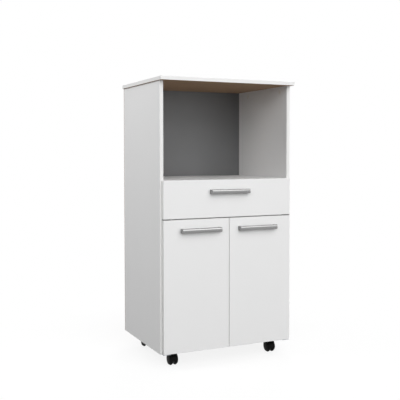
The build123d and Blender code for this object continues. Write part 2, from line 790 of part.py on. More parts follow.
# Casters: a hood with its web and boss, an axle through the web, and a domed wheel on each side of it
wheel_radius = wheel_diameter / 2
hood_inner = wheel_radius + hood_clear
hood_outer = hood_inner + hood_wall
web_thick = wheel_gap - 2 * web_clear
boss_top = plate_under - hood_top_gap
hood_cut_z = wheel_radius - hood_drop
axle_half = wheel_gap / 2 + wheel_width - axle_cover
for spot, (x, y) in caster_spots.items():
    axle_y = y - caster_trail
    hub = Plane(origin=(x, axle_y, wheel_radius), x_dir=(0, 1, 0), z_dir=(1, 0, 0))
    boss_low = wheel_radius + (hood_inner**2 - (caster_trail - hood_boss / 2) ** 2) ** 0.5
    reach = 2 * hood_outer
    below = (wheel_radius - reach, hood_cut_z)
    with BuildPart() as hood:
        with BuildSketch(hub):
            Circle(hood_outer)
        extrude(amount=hood_width / 2, both=True)
        fillet(hood.edges().filter_by(GeomType.CIRCLE), hood_round)
        with BuildSketch(Plane.XY.offset(boss_low)):
            with Locations((x, y)):
                Circle(hood_boss / 2)
        extrude(amount=boss_top - boss_low)
        with BuildSketch(hub):
            Circle(hood_inner)
        extrude(amount=hood_width, both=True, mode=Mode.SUBTRACT)
        with BuildSketch(hub):
            Circle(hood_inner + hood_wall / 2)
        extrude(amount=web_thick / 2, both=True)
        slab((x - reach, x + reach), (axle_y - reach, axle_y + reach), below, Mode.SUBTRACT)
        with BuildSketch(hub):
            Circle(axle_boss / 2)
        extrude(amount=web_thick / 2, both=True)
        drill([(x, y, boss_top)], DOWN, king_pin + 2 * running_fit, king_pin_length + running_fit)
        across = [(x - web_thick, axle_y, wheel_radius)]
        drill(across, (1, 0, 0), axle_diameter + fit_play, 2 * web_thick)
    write(hood, f"{spot}_caster_hood")

    with BuildPart() as axle:
        rods([(x - axle_half, axle_y, wheel_radius)], (1, 0, 0), axle_diameter, 2 * axle_half)
    write(axle, f"{spot}_caster_axle")

    with BuildPart() as wheels:
        for sign in SIDES.values():
            near = (x + sign * wheel_gap / 2, axle_y, wheel_radius)
            outline = [(wheel_width * along, wheel_radius * out) for along, out in wheel_profile_shares]
            with BuildSketch(Plane(origin=near, x_dir=(sign, 0, 0), z_dir=(0, sign, 0))) as profile:
                with BuildLine():
                    Polyline((0, 0), *outline, (wheel_width, 0), close=True)
                make_face()
                fillet([v for v in profile.vertices() if 0 < v.X < wheel_width], wheel_round)
            revolve(axis=Axis((x, axle_y, wheel_radius), (1, 0, 0)))
            depth = axle_half - wheel_gap / 2 + running_fit
            drill([near], (sign, 0, 0), axle_diameter + 2 * running_fit, depth)
    write(wheels, f"{spot}_caster_wheels")
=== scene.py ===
"""Finishes, screws, door buffers and studio of a white kitchen cabinet on casters."""

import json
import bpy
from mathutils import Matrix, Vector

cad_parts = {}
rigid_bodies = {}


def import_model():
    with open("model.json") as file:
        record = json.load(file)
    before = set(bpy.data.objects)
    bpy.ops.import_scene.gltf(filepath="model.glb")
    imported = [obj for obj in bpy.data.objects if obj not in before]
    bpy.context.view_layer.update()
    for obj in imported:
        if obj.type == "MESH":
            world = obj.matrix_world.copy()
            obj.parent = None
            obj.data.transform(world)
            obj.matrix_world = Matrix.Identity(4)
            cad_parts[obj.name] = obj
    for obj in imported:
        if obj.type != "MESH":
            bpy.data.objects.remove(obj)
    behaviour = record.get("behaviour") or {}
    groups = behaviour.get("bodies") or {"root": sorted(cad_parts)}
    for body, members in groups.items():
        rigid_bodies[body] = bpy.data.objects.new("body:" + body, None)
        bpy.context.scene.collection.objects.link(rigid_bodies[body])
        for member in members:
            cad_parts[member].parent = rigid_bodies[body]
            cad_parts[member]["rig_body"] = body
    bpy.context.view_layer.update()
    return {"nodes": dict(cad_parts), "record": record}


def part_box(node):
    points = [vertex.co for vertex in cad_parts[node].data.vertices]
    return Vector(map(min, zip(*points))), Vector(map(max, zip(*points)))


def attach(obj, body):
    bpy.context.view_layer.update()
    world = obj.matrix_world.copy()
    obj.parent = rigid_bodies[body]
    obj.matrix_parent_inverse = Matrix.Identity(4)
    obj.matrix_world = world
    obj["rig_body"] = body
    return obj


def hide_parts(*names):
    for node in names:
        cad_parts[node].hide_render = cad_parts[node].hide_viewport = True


bl_info = {
    "name": "Kitchen Cabinet Finish",
    "version": (1, 0, 0),
    "blender": (4, 5, 0),
    "location": "View3D > Sidebar > Cabinet",
    "description": "Dresses the white kitchen cabinet on casters and sets up its studio",
    "category": "Object",
}

from math import radians

import bmesh
import bpy
from bpy.props import FloatProperty, FloatVectorProperty, PointerProperty
from bpy.types import Operator, Panel, PropertyGroup
from mathutils import Vector

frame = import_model()
AXES = "xyz"

# A face looks along an axis if its normal has more than this share on it
FACING = 0.6

# A cross-head screw: radius of the flat on its crown and width of a recess arm, both over the
# head's diameter, and the height of the cutting blade's middle over the head's height
CROWN_FLAT, RECESS_WIDTH, BLADE_HEIGHT = 0.38, 0.17, 0.9
HEAD_SIDES, SHANK_SIDES = 20, 12
BUFFER_SEGMENTS, BUFFER_RINGS = 24, 12

# Metres within which points count as one, in a solid and in a grown mesh, and lie at a screw's tip
SOLID_WELD, GROWN_WELD, TIP_REACH = 1e-6, 1e-7, 1e-5
# A point this far out, over the head's radius, is on the rim of a screw's head
RIM_SHARE = 0.98

# Half the side of the studio's floor in metres, and the glow that lifts its shaded part
FLOOR_HALF, SHADED_GLOW = 6.0, 0.86

# The photograph's camera: lens and sensor in millimetres, place in metres, angles in degrees
LENS_MM, SENSOR_MM = 64.502, 36.0
LENS_SHIFT = (-0.0501, -0.05)
CAMERA_PLACE = (-1.3150, -2.8605, 0.8733)
CAMERA_TILT, CAMERA_TURN = 87.733, -25.741


def linear(hex_colour):
    """The linear red, green and blue of an sRGB hex value."""
    channels = [int(hex_colour[i:i + 2], 16) / 255 for i in (1, 3, 5)]
    return tuple(c / 12.92 if c <= 0.04045 else ((c + 0.055) / 1.055) ** 2.4 for c in channels)


def shade(colour, factor=1.0):
    """A colour made darker or lighter, with the alpha that sockets want."""
    return (*(min(1.0, c * factor) for c in colour), 1.0)


def per_mm(size):
    """The texture scale, on metres, of a pattern whose cells are size millimetres wide."""
    return 1000.0 / size


def add(tree, kind, settings=None, values=None, links=None):
    """Adds a node with its settings, input values and links."""
    node = tree.nodes.new(kind)
    for name, value in (settings or {}).items():
        setattr(node, name, value)
    for key, value in (values or {}).items():
        node.inputs[key].default_value = value
    for key, socket in (links or {}).items():
        tree.links.new(socket, node.inputs[key])
    return node


def colour_prop(name, description, hex_colour):
    """A colour that a user may change."""
    return FloatVectorProperty(
        name=name, description=description, subtype="COLOR", size=3, min=0.0, max=1.0,
        default=linear(hex_colour),
    )


def length_prop(name, description, metres):
    """A length that a user may change."""
    return FloatProperty(
        name=name, description=description, subtype="DISTANCE", unit="LENGTH", min=0.0,
        default=metres,
    )


def power_prop(name, description, watts):
    """A lamp's power that a user may change."""
    return FloatProperty(
        name=name, description=description, subtype="POWER", unit="POWER", min=0.0, default=watts,
    )


class CabinetFinish(PropertyGroup):
    """Colours of the cabinet's finishes."""

    melamine: colour_prop("Melamine", "Faces of the white boards", "#F1F1F1")
    edge_band: colour_prop("Edge band", "Plastic band on the boards' narrow edges", "#EEEEED")
    raw_board: colour_prop("Raw board", "Light chips on the top's uncoated underside", "#A98B6D")
    raw_chip: colour_prop("Dark chips", "Dark chips on the top's uncoated underside", "#80634B")
    # Painted shade: the backs' inner faces are a dark grey, so that the empty niche looks as dark
    # as it does in shade
    back_lacquer_painted_shade: colour_prop("Back lacquer with painted shade", "Inner faces of the back panels", "#6C6D6E")
    base_lacquer: colour_prop("Base lacquer", "Inner face of the drawer's base", "#DADAD8")
    hardboard: colour_prop("Hardboard", "Uncoated faces of the thin panels", "#926C48")
    silver: colour_prop("Silver", "Lacquered bow handles", "#909090")
    nylon_black: colour_prop("Black nylon", "Casters", "#080808")
    zinc: colour_prop("Zinc", "Plated steel fittings", "#B9BDC1")
    # The upper pivot leaves are black zinc, and dark also so that they paint shade into the gap
    # above the doors
    black_zinc_and_painted_shade: colour_prop("Black zinc", "Upper pivot leaves of the doors", "#2B2B2C")
    nylon_white: colour_prop("White nylon", "Rollers, bushes, pins and caps", "#E9E8E3")
    beech: colour_prop("Beech", "Dowels", "#C9A479")
    silicone: colour_prop("Silicone", "Door buffers", "#E4E6E6")


class CabinetSizes(PropertyGroup):
    """Sizes of the small pieces that are added to the boards."""

    buffer_diameter: length_prop("Buffer diameter", "Diameter of a door buffer", 0.008)
    buffer_height: length_prop("Buffer height", "How far a buffer stands off its door", 0.0019)
    buffer_inset: length_prop("Buffer inset", "Inner edge of a door to a buffer's middle", 0.045)
    recess_share: FloatProperty(
        name="Cross recess", subtype="FACTOR", min=0.2, max=0.8, default=0.6,
        description="Length of a screw's cross recess over its head's diameter",
    )


class CabinetStudio(PropertyGroup):
    """Light and floor around the cabinet."""

    key_power: power_prop("Key", "Large softbox above the front", 330.0)
    front_power: power_prop("Front", "Low softbox in front, at the right", 70.0)
    fill_power: power_prop("Fill", "Softbox in front, at the left", 100.0)
    side_power: power_prop("Side", "Small softbox above the left side", 15.0)
    back_power: power_prop("Back", "Softbox behind, at the right", 160.0)
    sheen_power: power_prop("Sheen", "Softbox above the front that only leaves highlights", 120.0)
    ambient: FloatProperty(
        name="Ambient", description="Light that comes evenly from all around",
        subtype="FACTOR", min=0.0, max=1.0, default=0.2,
    )
    floor_bounce: colour_prop("Floor bounce", "What the floor gives back to the cabinet", "#747474")
    floor_paper: colour_prop("Floor shadow", "Part of the floor that takes the shadow", "#6F6F6F")
    shadow_near: length_prop("Shadow near", "Up to here the floor takes the full shadow", 0.45)
    shadow_far: length_prop("Shadow far", "From here on the floor is plain white", 1.1)


def new_finish(name):
    """A new material: its tree, its shader, and the piece's own coordinates and normal."""
    material = bpy.data.materials.new(name)
    material.use_nodes = True
    tree = material.node_tree
    tree.nodes.clear()
    shader = add(tree, "ShaderNodeBsdfPrincipled")
    add(tree, "ShaderNodeOutputMaterial", links={"Surface": shader.outputs["BSDF"]})
    place = add(tree, "ShaderNodeTexCoord")
    return tree, shader, place.outputs["Object"], place.outputs["Normal"]


def link_surface(tree, shader, colour, roughness, relief):
    """Joins a finish's colour, roughness and bump node to its shader."""
    tree.links.new(colour, shader.inputs["Base Color"])
    tree.links.new(roughness, shader.inputs["Roughness"])
    tree.links.new(relief.outputs["Normal"], shader.inputs["Normal"])


def melamine_board(name, look, across, raw_underside=False):
    """Melamine-faced chipboard, pressed with a pearl grain that softens highlights.

    Its edges, which don't look across the board, have a smoother band. A raw underside is left
    uncoated.
    """
    tree, shader, metres, normal = new_finish(name)
    cloud = add(tree, "ShaderNodeTexNoise", values={"Scale": per_mm(160), "Detail": 3.0},
                links={"Vector": metres})
    face = add(tree, "ShaderNodeMix", {"data_type": "RGBA"},
               {"A": shade(look.melamine, 0.985), "B": shade(look.melamine, 1.01)},
               {"Factor": cloud.outputs[0]})
    # The real pearl grain is about 0.3 mm wide; it is drawn at 1.1 mm so that it still shows
    pearl = add(tree, "ShaderNodeTexNoise", values={"Scale": per_mm(1.1), "Detail": 2.0},
                links={"Vector": metres})
    facing = add(tree, "ShaderNodeSeparateXYZ", links={0: normal})
    square = add(tree, "ShaderNodeMath", {"operation": "ABSOLUTE"},
                 links={0: facing.outputs[AXES.index(across)]})
    band = add(tree, "ShaderNodeMath", {"operation": "LESS_THAN"}, {1: FACING},
               {0: square.outputs[0]})
    banded = add(tree, "ShaderNodeMix", {"data_type": "RGBA"}, {"B": shade(look.edge_band)},
                 {"Factor": band.outputs[0], "A": face.outputs["Result"]})
    satin = add(tree, "ShaderNodeMapRange", values={"To Min": 0.36, "To Max": 0.46},
                links={"Value": pearl.outputs[0]})
    smooth = add(tree, "ShaderNodeMix", {"data_type": "FLOAT"}, {"B": 0.3},
                 {"Factor": band.outputs[0], "A": satin.outputs["Result"]})
    colour, roughness = banded.outputs["Result"], smooth.outputs["Result"]
    if raw_underside:
        # Uncoated chipboard: pressed chips of about 4.5 mm and dust in several browns, dull
        chips = add(tree, "ShaderNodeTexVoronoi", values={"Scale": per_mm(4.5)},
                    links={"Vector": metres})
        dust = add(tree, "ShaderNodeTexNoise", values={"Scale": per_mm(1.4), "Detail": 5.0},
                   links={"Vector": metres})
        hue = add(tree, "ShaderNodeMix", {"data_type": "FLOAT"}, {"Factor": 0.55},
                  {"A": chips.outputs["Color"], "B": dust.outputs[0]})
        brown = add(tree, "ShaderNodeMix", {"data_type": "RGBA"},
                    {"A": shade(look.raw_chip), "B": shade(look.raw_board, 1.1)},
                    {"Factor": hue.outputs["Result"]})
        bare = add(tree, "ShaderNodeMath", {"operation": "LESS_THAN"}, {1: -FACING},
                   {0: facing.outputs["Z"]})
        mixed = add(tree, "ShaderNodeMix", {"data_type": "RGBA"},
                    links={"Factor": bare.outputs[0], "A": colour, "B": brown.outputs["Result"]})
        dull = add(tree, "ShaderNodeMix", {"data_type": "FLOAT"}, {"B": 0.75},
                   {"Factor": bare.outputs[0], "A": roughness})
        colour, roughness = mixed.outputs["Result"], dull.outputs["Result"]
    relief = add(tree, "ShaderNodeBump", values={"Strength": 0.12, "Distance": 0.00008},
                 links={"Height": pearl.outputs[0]})
    link_surface(tree, shader, colour, roughness, relief)


def lacquered_hardboard(name, look, lacquer_and_painted_shade, across, coated_way):
    """Thin hardboard, lacquered smooth on the face that looks up (1) or down (-1) its axis.

    The other face is raw and shows brown fibres and the marks of the press screen.
    """
    tree, shader, metres, normal = new_finish(name)
    facing = add(tree, "ShaderNodeSeparateXYZ", links={0: normal})
    outward = add(tree, "ShaderNodeMath", {"operation": "MULTIPLY"}, {1: coated_way},
                  {0: facing.outputs[AXES.index(across)]})
    coated = add(tree, "ShaderNodeMath", {"operation": "GREATER_THAN"}, {1: FACING},
                 {0: outward.outputs[0]})
    fibres = add(tree, "ShaderNodeTexNoise",
                 values={"Scale": per_mm(2.2), "Detail": 6.0, "Roughness": 0.7},
                 links={"Vector": metres})
    cloud = add(tree, "ShaderNodeTexNoise", values={"Scale": per_mm(90), "Detail": 4.0},
                links={"Vector": metres})
    felt = add(tree, "ShaderNodeMix", {"data_type": "FLOAT"}, {"Factor": 0.45},
               {"A": fibres.outputs[0], "B": cloud.outputs[0]})
    brown = add(tree, "ShaderNodeMix", {"data_type": "RGBA"},
                {"A": shade(look.hardboard, 0.55), "B": shade(look.hardboard, 1.4)},
                {"Factor": felt.outputs["Result"]})
    # The coat's colour; for the backs it is a dark grey that paints the niche's shade
    lacquer = add(tree, "ShaderNodeMix", {"data_type": "RGBA"},
                  {"A": shade(lacquer_and_painted_shade, 0.96), "B": shade(lacquer_and_painted_shade, 1.04)},
                  {"Factor": cloud.outputs[0]})
    colour = add(tree, "ShaderNodeMix", {"data_type": "RGBA"},
                 links={"Factor": coated.outputs[0], "A": brown.outputs["Result"],
                        "B": lacquer.outputs["Result"]})
    rough = add(tree, "ShaderNodeMix", {"data_type": "FLOAT"}, {"A": 0.78, "B": 0.42},
                {"Factor": coated.outputs[0]})
    # The press screen leaves a wire's mark about every 2 mm
    screen = add(tree, "ShaderNodeTexVoronoi", {"feature": "DISTANCE_TO_EDGE"},
                 {"Scale": per_mm(2.0), "Randomness": 0.0}, {"Vector": metres})
    depth = add(tree, "ShaderNodeMix", {"data_type": "FLOAT"},
                links={"Factor": coated.outputs[0], "A": screen.outputs["Distance"],
                       "B": fibres.outputs[0]})
    strength = add(tree, "ShaderNodeMix", {"data_type": "FLOAT"}, {"A": 0.6, "B": 0.06},
                   {"Factor": coated.outputs[0]})
    relief = add(tree, "ShaderNodeBump", values={"Distance": 0.0002},
                 links={"Height": depth.outputs["Result"], "Strength": strength.outputs["Result"]})
    link_surface(tree, shader, colour.outputs["Result"], rough.outputs["Result"], relief)


def silver_lacquer(name, look):
    """Silver lacquer on cast aluminium: metal flakes in a sprayed coat.

    Light falls off softly round a bar that has it, with no sharp reflections.
    """
    tree, shader, metres, _ = new_finish(name)
    # Flakes are about 0.05 mm wide; they are drawn at 0.6 mm
    flakes = add(tree, "ShaderNodeTexVoronoi", values={"Scale": per_mm(0.6)},
                 links={"Vector": metres})
    tone = add(tree, "ShaderNodeMix", {"data_type": "RGBA"},
               {"A": shade(look.silver, 0.96), "B": shade(look.silver, 1.04)},
               {"Factor": flakes.outputs["Color"]})
    rough = add(tree, "ShaderNodeMapRange", values={"To Min": 0.25, "To Max": 0.31},
                links={"Value": flakes.outputs["Color"]})
    # Sprayed lacquer dries with a faint peel, about 2.5 mm from crest to crest
    peel = add(tree, "ShaderNodeTexNoise", values={"Scale": per_mm(2.5), "Detail": 1.0},
               links={"Vector": metres})
    relief = add(tree, "ShaderNodeBump", values={"Strength": 0.1, "Distance": 0.00006},
                 links={"Height": peel.outputs[0]})
    shader.inputs["Metallic"].default_value = 0.85
    link_surface(tree, shader, tone.outputs["Result"], rough.outputs["Result"], relief)


def moulded_nylon(name, colour, roughness, gloss):
    """Moulded nylon: one colour with faint flow clouds and the mould's fine spark grit."""
    tree, shader, metres, _ = new_finish(name)
    flow = add(tree, "ShaderNodeTexNoise", values={"Scale": per_mm(14), "Detail": 3.0},
               links={"Vector": metres})
    tone = add(tree, "ShaderNodeMix", {"data_type": "RGBA"},
               {"A": shade(colour, 0.9), "B": shade(colour, 1.1)}, {"Factor": flow.outputs[0]})
    # Spark grit is about 0.1 mm wide; it is drawn at 0.6 mm
    grit = add(tree, "ShaderNodeTexNoise", values={"Scale": per_mm(0.6), "Detail": 2.0},
               links={"Vector": metres})
    rough = add(tree, "ShaderNodeMapRange",
                values={"To Min": roughness - 0.06, "To Max": roughness + 0.06},
                links={"Value": grit.outputs[0]})
    relief = add(tree, "ShaderNodeBump", values={"Strength": 0.2, "Distance": 0.00006},
                 links={"Height": grit.outputs[0]})
    shader.inputs["IOR"].default_value = 1.53
    shader.inputs["Specular IOR Level"].default_value = gloss
    link_surface(tree, shader, tone.outputs["Result"], rough.outputs["Result"], relief)


def zinc_plate(name, colour):
    """Zinc on pressed steel, bright or black: cloudy from the passivation, with a rolled grain."""
    tree, shader, metres, _ = new_finish(name)
    cloud = add(tree, "ShaderNodeTexNoise", values={"Scale": per_mm(6), "Detail": 4.0},
                links={"Vector": metres})
    tone = add(tree, "ShaderNodeMix", {"data_type": "RGBA"},
               {"A": shade(colour, 0.86), "B": shade(colour, 1.06)}, {"Factor": cloud.outputs[0]})
    rough = add(tree, "ShaderNodeMapRange", values={"To Min": 0.26, "To Max": 0.42},
                links={"Value": cloud.outputs[0]})
    grain = add(tree, "ShaderNodeTexNoise", values={"Scale": per_mm(0.8), "Detail": 2.0},
                links={"Vector": metres})
    relief = add(tree, "ShaderNodeBump", values={"Strength": 0.12, "Distance": 0.00004},
                 links={"Height": grain.outputs[0]})
    shader.inputs["Metallic"].default_value = 1.0
    link_surface(tree, shader, tone.outputs["Result"], rough.outputs["Result"], relief)


def beech_dowel(name, look):
    """Beech dowel stock: pale pinkish brown with short dark flecks along the grain."""
    tree, shader, metres, _ = new_finish(name)
    fleck_length, fleck_width = 0.012, 0.0012
    grainwise = add(tree, "ShaderNodeMapping", {"vector_type": "TEXTURE"},
                    {"Scale": (fleck_length, fleck_width, fleck_width)}, {"Vector": metres})
    fleck = add(tree, "ShaderNodeTexNoise", values={"Scale": 1.0, "Detail": 4.0},
                links={"Vector": grainwise.outputs["Vector"]})
    tone = add(tree, "ShaderNodeMix", {"data_type": "RGBA"},
               {"A": shade(look.beech, 0.72), "B": shade(look.beech, 1.12)},
               {"Factor": fleck.outputs[0]})
    rough = add(tree, "ShaderNodeMapRange", values={"To Min": 0.55, "To Max": 0.7},
                links={"Value": fleck.outputs[0]})
    relief = add(tree, "ShaderNodeBump", values={"Strength": 0.2, "Distance": 0.0001},
                 links={"Height": fleck.outputs[0]})
    link_surface(tree, shader, tone.outputs["Result"], rough.outputs["Result"], relief)


def cast_silicone(name, look):
    """Cast silicone: clear and a little milky, with a half-gloss skin."""
    tree, shader, metres, _ = new_finish(name)
    haze = add(tree, "ShaderNodeTexNoise", values={"Scale": per_mm(1.5), "Detail": 2.0},
               links={"Vector": metres})
    tone = add(tree, "ShaderNodeMix", {"data_type": "RGBA"},
               {"A": shade(look.silicone, 0.95), "B": shade(look.silicone)},
               {"Factor": haze.outputs[0]})
    rough = add(tree, "ShaderNodeMapRange", values={"To Min": 0.18, "To Max": 0.32},
                links={"Value": haze.outputs[0]})
    relief = add(tree, "ShaderNodeBump", values={"Strength": 0.05, "Distance": 0.00005},
                 links={"Height": haze.outputs[0]})
    shader.inputs["Transmission Weight"].default_value = 0.55
    shader.inputs["IOR"].default_value = 1.41
    link_surface(tree, shader, tone.outputs["Result"], rough.outputs["Result"], relief)


def dress(finish, nodes):
    """Gives CAD nodes a finish through their material slots."""
    for name in nodes:
        piece = frame["nodes"][name]
        if not piece.material_slots:
            piece.data.materials.append(bpy.data.materials[finish])
        for slot in piece.material_slots:
            slot.material = bpy.data.materials[finish]


def nodes_in(slot):
    """The nodes that the record puts in a material slot."""
    return [row["node"] for row in frame["record"]["subparts"] if row["material_slot"] == slot]


class CABINET_OT_boards(Operator):
    """Finish the white boards, by the way that each is laid"""

    bl_idname = "cabinet.boards"
    bl_label = "Finish Boards"

    def execute(self, context):
        look = context.scene.cabinet_finish
        laid = {
            "x": "White melamine uprights", "y": "White melamine fronts",
            "z": "White melamine shelves",
        }
        for across, name in laid.items():
            melamine_board(name, look, across)
        for node in nodes_in("white_melamine"):
            low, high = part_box(node)
            size = high - low
            dress(laid[min(AXES, key=lambda axis: getattr(size, axis))], [node])
        melamine_board("White melamine top", look, "z", raw_underside=True)
        dress("White melamine top", ["top_board"])
        return {"FINISHED"}


class CABINET_OT_panels(Operator):
    """Finish the thin back panels and the drawer's base"""

    bl_idname = "cabinet.panels"
    bl_label = "Finish Thin Panels"

    def execute(self, context):
        look = context.scene.cabinet_finish
        # The backs get a dark grey coat, which paints the shade of the niche onto their inner faces
        lacquered_hardboard("Hardboard backs", look, look.back_lacquer_painted_shade, "y", coated_way=-1.0)
        lacquered_hardboard("Hardboard drawer base", look, look.base_lacquer, "z", coated_way=1.0)
        dress("Hardboard backs", ["niche_back", "lower_back"])
        dress("Hardboard drawer base", ["drawer_base"])
        return {"FINISHED"}


class CABINET_OT_fittings(Operator):
    """Finish the handles, casters, plastic parts, steel parts and dowels"""

    bl_idname = "cabinet.fittings"
    bl_label = "Finish Fittings"

    def execute(self, context):
        look = context.scene.cabinet_finish
        silver_lacquer("Silver lacquer handles", look)
        moulded_nylon("Black nylon casters", look.nylon_black, roughness=0.5, gloss=0.08)
        moulded_nylon("White nylon fittings", look.nylon_white, roughness=0.4, gloss=0.5)
        zinc_plate("Bright zinc steel", look.zinc)
        # Black zinc on the upper pivot leaves, also dark to paint shade into the gap above the
        # doors
        zinc_plate("Black zinc steel", look.black_zinc_and_painted_shade)
        beech_dowel("Beech dowels", look)
        dress("Silver lacquer handles", nodes_in("satin_silver"))
        dress("Black nylon casters", nodes_in("black_nylon"))
        dress("White nylon fittings", nodes_in("white_nylon"))
        dress("Bright zinc steel", nodes_in("zinc_plated_steel"))
        dress("Black zinc steel", ["upper_pivot_leaves"])
        dress("Beech dowels", nodes_in("beech"))
        return {"FINISHED"}


def solids_of(node):
    """The points of each separate solid in a node."""
    welded = bmesh.new()
    welded.from_mesh(frame["nodes"][node].data)
    bmesh.ops.remove_doubles(welded, verts=welded.verts, dist=SOLID_WELD)
    seen, solids = set(), []
    for start in welded.verts:
        if start in seen:
            continue
        points, queue = [], [start]
        seen.add(start)
        while queue:
            vert = queue.pop()
            points.append(vert.co.copy())
            for edge in vert.link_edges:
                other = edge.other_vert(vert)
                if other not in seen:
                    seen.add(other)
                    queue.append(other)
        solids.append(points)
    welded.free()
    return solids


def screw_seats(node):
    """A node's screws, read from its solids: the seat under each head, its way out, and its sizes.

    The sizes are the head's diameter and height and the shank's diameter and length.
    """
    seats = []
    for points in solids_of(node):
        low = Vector(min(p[i] for p in points) for i in range(3))
        high = Vector(max(p[i] for p in points) for i in range(3))
        middle, size = (low + high) / 2, high - low
        axis = max(range(3), key=lambda i: size[i])
        reach = [max(abs(p[i] - middle[i]) for i in range(3) if i != axis) for p in points]
        head_radius = max(reach)
        rim = [p[axis] for p, r in zip(points, reach) if r > RIM_SHARE * head_radius]
        way = 1.0 if sum(rim) / len(rim) > middle[axis] else -1.0
        under = min(rim) if way > 0 else max(rim)
        crown, tip = (high[axis], low[axis]) if way > 0 else (low[axis], high[axis])
        shank_radius = max(r for p, r in zip(points, reach) if abs(p[axis] - tip) < TIP_REACH)
        seat, outward = middle.copy(), Vector((0.0, 0.0, 0.0))
        seat[axis], outward[axis] = under, way
        sizes = (2 * head_radius, abs(crown - under), 2 * shank_radius, abs(tip - under))
        seats.append((seat, outward, sizes))
    if not seats:
        raise RuntimeError(f"no screw found in {node}")
    return seats


def new_grower(name, sizes):
    """Starts a geometry node tree: its inputs, sizes and material, and the turn of its points."""
    tree = bpy.data.node_groups.new(name, "GeometryNodeTree")
    tree.interface.new_socket("Geometry", in_out="INPUT", socket_type="NodeSocketGeometry")
    for label in sizes:
        tree.interface.new_socket(label, in_out="INPUT", socket_type="NodeSocketFloat")
    tree.interface.new_socket("Material", in_out="INPUT", socket_type="NodeSocketMaterial")
    tree.interface.new_socket("Geometry", in_out="OUTPUT", socket_type="NodeSocketGeometry")
    given = add(tree, "NodeGroupInput").outputs
    outward = add(tree, "GeometryNodeInputNamedAttribute", {"data_type": "FLOAT_VECTOR"},
                  {"Name": "outward"})
    turn = add(tree, "FunctionNodeAlignRotationToVector", {"axis": "Z"},
               links={"Vector": outward.outputs["Attribute"]})
    return tree, given, turn.outputs["Rotation"]


def end_grower(tree, placed, material):
    """Ends a tree: instances made real, with their material."""
    real = add(tree, "GeometryNodeRealizeInstances", links={"Geometry": placed})
    coated = add(tree, "GeometryNodeSetMaterial",
                 links={"Geometry": real.outputs["Geometry"], "Material": material})
    add(tree, "NodeGroupOutput", links={"Geometry": coated.outputs["Geometry"]})
    return tree


def screw_grower():
    """Cross-head screws: a crowned head with a cross cut into it, and a plain shank below."""
    sizes = ("Head Diameter", "Head Height", "Shank Diameter", "Shank Length", "Recess Share")
    tree, given, turn = new_grower("Cross-head screws", sizes)
    rim = add(tree, "ShaderNodeMath", {"operation": "MULTIPLY"}, {1: 0.5},
              {0: given["Head Diameter"]})
    flat = add(tree, "ShaderNodeMath", {"operation": "MULTIPLY"}, {1: CROWN_FLAT},
               {0: given["Head Diameter"]})
    head = add(tree, "GeometryNodeMeshCone", values={"Vertices": HEAD_SIDES},
               links={"Radius Top": flat.outputs[0], "Radius Bottom": rim.outputs[0],
                      "Depth": given["Head Height"]})
    arm = add(tree, "ShaderNodeMath", {"operation": "MULTIPLY"},
              links={0: given["Head Diameter"], 1: given["Recess Share"]})
    slit = add(tree, "ShaderNodeMath", {"operation": "MULTIPLY"}, {1: RECESS_WIDTH},
               {0: given["Head Diameter"]})
    # The blade is as tall as the head, so the recess goes through the head's upper six tenths
    raised = add(tree, "ShaderNodeMath", {"operation": "MULTIPLY"}, {1: BLADE_HEIGHT},
                 {0: given["Head Height"]})
    lift = add(tree, "ShaderNodeCombineXYZ", links={"Z": raised.outputs[0]})
    cut = head.outputs["Mesh"]
    for long_way, short_way in (("X", "Y"), ("Y", "X")):
        blade_size = add(tree, "ShaderNodeCombineXYZ",
                         links={long_way: arm.outputs[0], short_way: slit.outputs[0],
                                "Z": given["Head Height"]})
        blade = add(tree, "GeometryNodeMeshCube", links={"Size": blade_size.outputs[0]})
        lifted = add(tree, "GeometryNodeTransform",
                     links={"Geometry": blade.outputs["Mesh"], "Translation": lift.outputs[0]})
        slot = add(tree, "GeometryNodeMeshBoolean", {"operation": "DIFFERENCE", "solver": "EXACT"},
                   links={"Mesh 1": cut, "Mesh 2": lifted.outputs["Geometry"]})
        cut = slot.outputs["Mesh"]
    radius = add(tree, "ShaderNodeMath", {"operation": "MULTIPLY"}, {1: 0.5},
                 {0: given["Shank Diameter"]})
    shank = add(tree, "GeometryNodeMeshCylinder", values={"Vertices": SHANK_SIDES},
                links={"Radius": radius.outputs[0], "Depth": given["Shank Length"]})
    half_down = add(tree, "ShaderNodeMath", {"operation": "MULTIPLY"}, {1: -0.5},
                    {0: given["Shank Length"]})
    drop = add(tree, "ShaderNodeCombineXYZ", links={"Z": half_down.outputs[0]})
    sunk = add(tree, "GeometryNodeTransform",
               links={"Geometry": shank.outputs["Mesh"], "Translation": drop.outputs[0]})
    screw = add(tree, "GeometryNodeJoinGeometry", links={"Geometry": cut})
    tree.links.new(sunk.outputs["Geometry"], screw.inputs["Geometry"])
    placed = add(tree, "GeometryNodeInstanceOnPoints",
                 links={"Points": given["Geometry"], "Instance": screw.outputs["Geometry"],
                        "Rotation": turn})
    return end_grower(tree, placed.outputs["Instances"], given["Material"])


